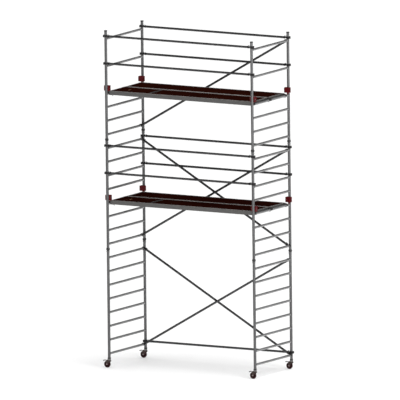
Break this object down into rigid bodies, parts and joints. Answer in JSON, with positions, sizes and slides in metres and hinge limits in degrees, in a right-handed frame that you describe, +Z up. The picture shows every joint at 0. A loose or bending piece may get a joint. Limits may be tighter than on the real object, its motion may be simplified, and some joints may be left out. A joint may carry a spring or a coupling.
{
  "type": "mobile tower scaffold",
  "caption": "Tall rolling access tower: tubular ladder frames on braked casters, platforms with hatches, guard rails, diagonal braces and toe-board brackets.",
  "frame": {"origin": "on the floor, midway between the four posts", "axes": "+X along the platforms to the right, +Y from the front to the back, +Z up"},
  "size_m": [3.218, 1.3687, 6.16],
  "materials": {
    "frame_tube": "satin",
    "spigot_tube": "satin",
    "collar_ring": "satin",
    "lock_pin_steel": "satin",
    "rail_tube": "satin",
    "brace_tube": "satin",
    "claw_casting": "semi-matt",
    "latch_plastic": "semi-gloss",
    "board_beam": "satin",
    "deck_ply": "film faced, matt",
    "lid_ply": "film faced, matt",
    "hinge_steel": "satin",
    "hook_casting": "rough",
    "catch_steel": "satin",
    "bracket_red": "semi-gloss",
    "stem_steel": "satin",
    "fork_steel": "satin",
    "hub_plastic": "matt",
    "tyre_rubber": "matt",
    "pedal_paint": "semi-gloss"
  },
  "bodies": {
    "tower": {"left_base_frame": "frame_tube", "left_middle_frame": "frame_tube", "left_top_frame": "frame_tube", "right_base_frame": "frame_tube", "right_middle_frame": "frame_tube", "right_top_frame": "frame_tube", "frame_spigots": "spigot_tube", "post_collars": "collar_ring", "frame_lock_pins": "lock_pin_steel", "lower_guard_rails": "rail_tube", "upper_guard_rails": "rail_tube", "base_brace": "rail_tube", "diagonal_braces": "brace_tube", "rail_claws": "claw_casting", "diagonal_claws": "claw_casting", "rail_claw_latches": "latch_plastic", "diagonal_claw_latches": "latch_plastic", "lower_front_board_frame": "board_beam", "lower_front_deck": "deck_ply", "lower_back_board_frame": "board_beam", "lower_back_deck": "deck_ply", "lower_deck_hooks": "hook_casting", "lower_toe_board_brackets": "bracket_red", "upper_front_board_frame": "board_beam", "upper_front_deck": "deck_ply", "upper_back_board_frame": "board_beam", "upper_back_deck": "deck_ply", "upper_deck_hooks": "hook_casting", "upper_toe_board_brackets": "bracket_red", "hatch_hinges": "hinge_steel", "caster_stems": "stem_steel"},
    "front_left_swivel": {"front_left_fork": "fork_steel"},
    "front_left_wheel": {"front_left_wheel_hub": "hub_plastic", "front_left_tyre": "tyre_rubber"},
    "front_left_pedal": {"front_left_brake_pedal": "pedal_paint"},
    "back_left_swivel": {"back_left_fork": "fork_steel"},
    "back_left_wheel": {"back_left_wheel_hub": "hub_plastic", "back_left_tyre": "tyre_rubber"},
    "back_left_pedal": {"back_left_brake_pedal": "pedal_paint"},
    "front_right_swivel": {"front_right_fork": "fork_steel"},
    "front_right_wheel": {"front_right_wheel_hub": "hub_plastic", "front_right_tyre": "tyre_rubber"},
    "front_right_pedal": {"front_right_brake_pedal": "pedal_paint"},
    "back_right_swivel": {"back_right_fork": "fork_steel"},
    "back_right_wheel": {"back_right_wheel_hub": "hub_plastic", "back_right_tyre": "tyre_rubber"},
    "back_right_pedal": {"back_right_brake_pedal": "pedal_paint"},
    "lower_lid": {"lower_hatch_lid": "lid_ply"},
    "lower_front_left_catch_slide": {"lower_front_left_catch": "catch_steel"},
    "lower_front_right_catch_slide": {"lower_front_right_catch": "catch_steel"},
    "lower_back_left_catch_slide": {"lower_back_left_catch": "catch_steel"},
    "lower_back_right_catch_slide": {"lower_back_right_catch": "catch_steel"},
    "upper_lid": {"upper_hatch_lid": "lid_ply"},
    "upper_front_left_catch_slide": {"upper_front_left_catch": "catch_steel"},
    "upper_front_right_catch_slide": {"upper_front_right_catch": "catch_steel"},
    "upper_back_left_catch_slide": {"upper_back_left_catch": "catch_steel"},
    "upper_back_right_catch_slide": {"upper_back_right_catch": "catch_steel"}
  },
  "joints": [
    {"name": "front_left_caster_swivel", "type": "hinge", "parent": "tower", "child": "front_left_swivel", "pos_m": [-1.525, -0.65, 0.16], "axis": [0, 0, 1], "continuous": true},
    {"name": "front_left_wheel_roll", "type": "hinge", "parent": "front_left_swivel", "child": "front_left_wheel", "pos_m": [-1.567, -0.65, 0.0625], "axis": [0, 1, 0], "continuous": true},
    {"name": "front_left_brake", "type": "hinge", "parent": "front_left_swivel", "child": "front_left_pedal", "pos_m": [-1.575, -0.65, 0.134], "axis": [0, 1, 0], "range_deg": [-14, 0]},
    {"name": "back_left_caster_swivel", "type": "hinge", "parent": "tower", "child": "back_left_swivel", "pos_m": [-1.525, 0.65, 0.16], "axis": [0, 0, 1], "continuous": true},
    {"name": "back_left_wheel_roll", "type": "hinge", "parent": "back_left_swivel", "child": "back_left_wheel", "pos_m": [-1.567, 0.65, 0.0625], "axis": [0, 1, 0], "continuous": true},
    {"name": "back_left_brake", "type": "hinge", "parent": "back_left_swivel", "child": "back_left_pedal", "pos_m": [-1.575, 0.65, 0.134], "axis": [0, 1, 0], "range_deg": [-14, 0]},
    {"name": "front_right_caster_swivel", "type": "hinge", "parent": "tower", "child": "front_right_swivel", "pos_m": [1.525, -0.65, 0.16], "axis": [0, 0, 1], "continuous": true},
    {"name": "front_right_wheel_roll", "type": "hinge", "parent": "front_right_swivel", "child": "front_right_wheel", "pos_m": [1.483, -0.65, 0.0625], "axis": [0, 1, 0], "continuous": true},
    {"name": "front_right_brake", "type": "hinge", "parent": "front_right_swivel", "child": "front_right_pedal", "pos_m": [1.475, -0.65, 0.134], "axis": [0, 1, 0], "range_deg": [-14, 0]},
    {"name": "back_right_caster_swivel", "type": "hinge", "parent": "tower", "child": "back_right_swivel", "pos_m": [1.525, 0.65, 0.16], "axis": [0, 0, 1], "continuous": true},
    {"name": "back_right_wheel_roll", "type": "hinge", "parent": "back_right_swivel", "child": "back_right_wheel", "pos_m": [1.483, 0.65, 0.0625], "axis": [0, 1, 0], "continuous": true},
    {"name": "back_right_brake", "type": "hinge", "parent": "back_right_swivel", "child": "back_right_pedal", "pos_m": [1.475, 0.65, 0.134], "axis": [0, 1, 0], "range_deg": [-14, 0]},
    {"name": "lower_hatch_hinge", "type": "hinge", "parent": "tower", "child": "lower_lid", "pos_m": [-0.69, -0.3295, 3.0545], "axis": [0, 1, 0], "range_deg": [0, 100]},
    {"name": "lower_front_left_catch_slide", "type": "slide", "parent": "tower", "child": "lower_front_left_catch_slide", "axis": [1, 0, 0], "range_m": [0, 0.04]},
    {"name": "lower_front_right_catch_slide", "type": "slide", "parent": "tower", "child": "lower_front_right_catch_slide", "axis": [-1, 0, 0], "range_m": [0, 0.04]},
    {"name": "lower_back_left_catch_slide", "type": "slide", "parent": "tower", "child": "lower_back_left_catch_slide", "axis": [1, 0, 0], "range_m": [0, 0.04]},
    {"name": "lower_back_right_catch_slide", "type": "slide", "parent": "tower", "child": "lower_back_right_catch_slide", "axis": [-1, 0, 0], "range_m": [0, 0.04]},
    {"name": "upper_hatch_hinge", "type": "hinge", "parent": "tower", "child": "upper_lid", "pos_m": [-0.69, -0.3295, 5.0545], "axis": [0, 1, 0], "range_deg": [0, 100]},
    {"name": "upper_front_left_catch_slide", "type": "slide", "parent": "tower", "child": "upper_front_left_catch_slide", "axis": [1, 0, 0], "range_m": [0, 0.04]},
    {"name": "upper_front_right_catch_slide", "type": "slide", "parent": "tower", "child": "upper_front_right_catch_slide", "axis": [-1, 0, 0], "range_m": [0, 0.04]},
    {"name": "upper_back_left_catch_slide", "type": "slide", "parent": "tower", "child": "upper_back_left_catch_slide", "axis": [1, 0, 0], "range_m": [0, 0.04]},
    {"name": "upper_back_right_catch_slide", "type": "slide", "parent": "tower", "child": "upper_back_right_catch_slide", "axis": [-1, 0, 0], "range_m": [0, 0.04]}
  ]
}
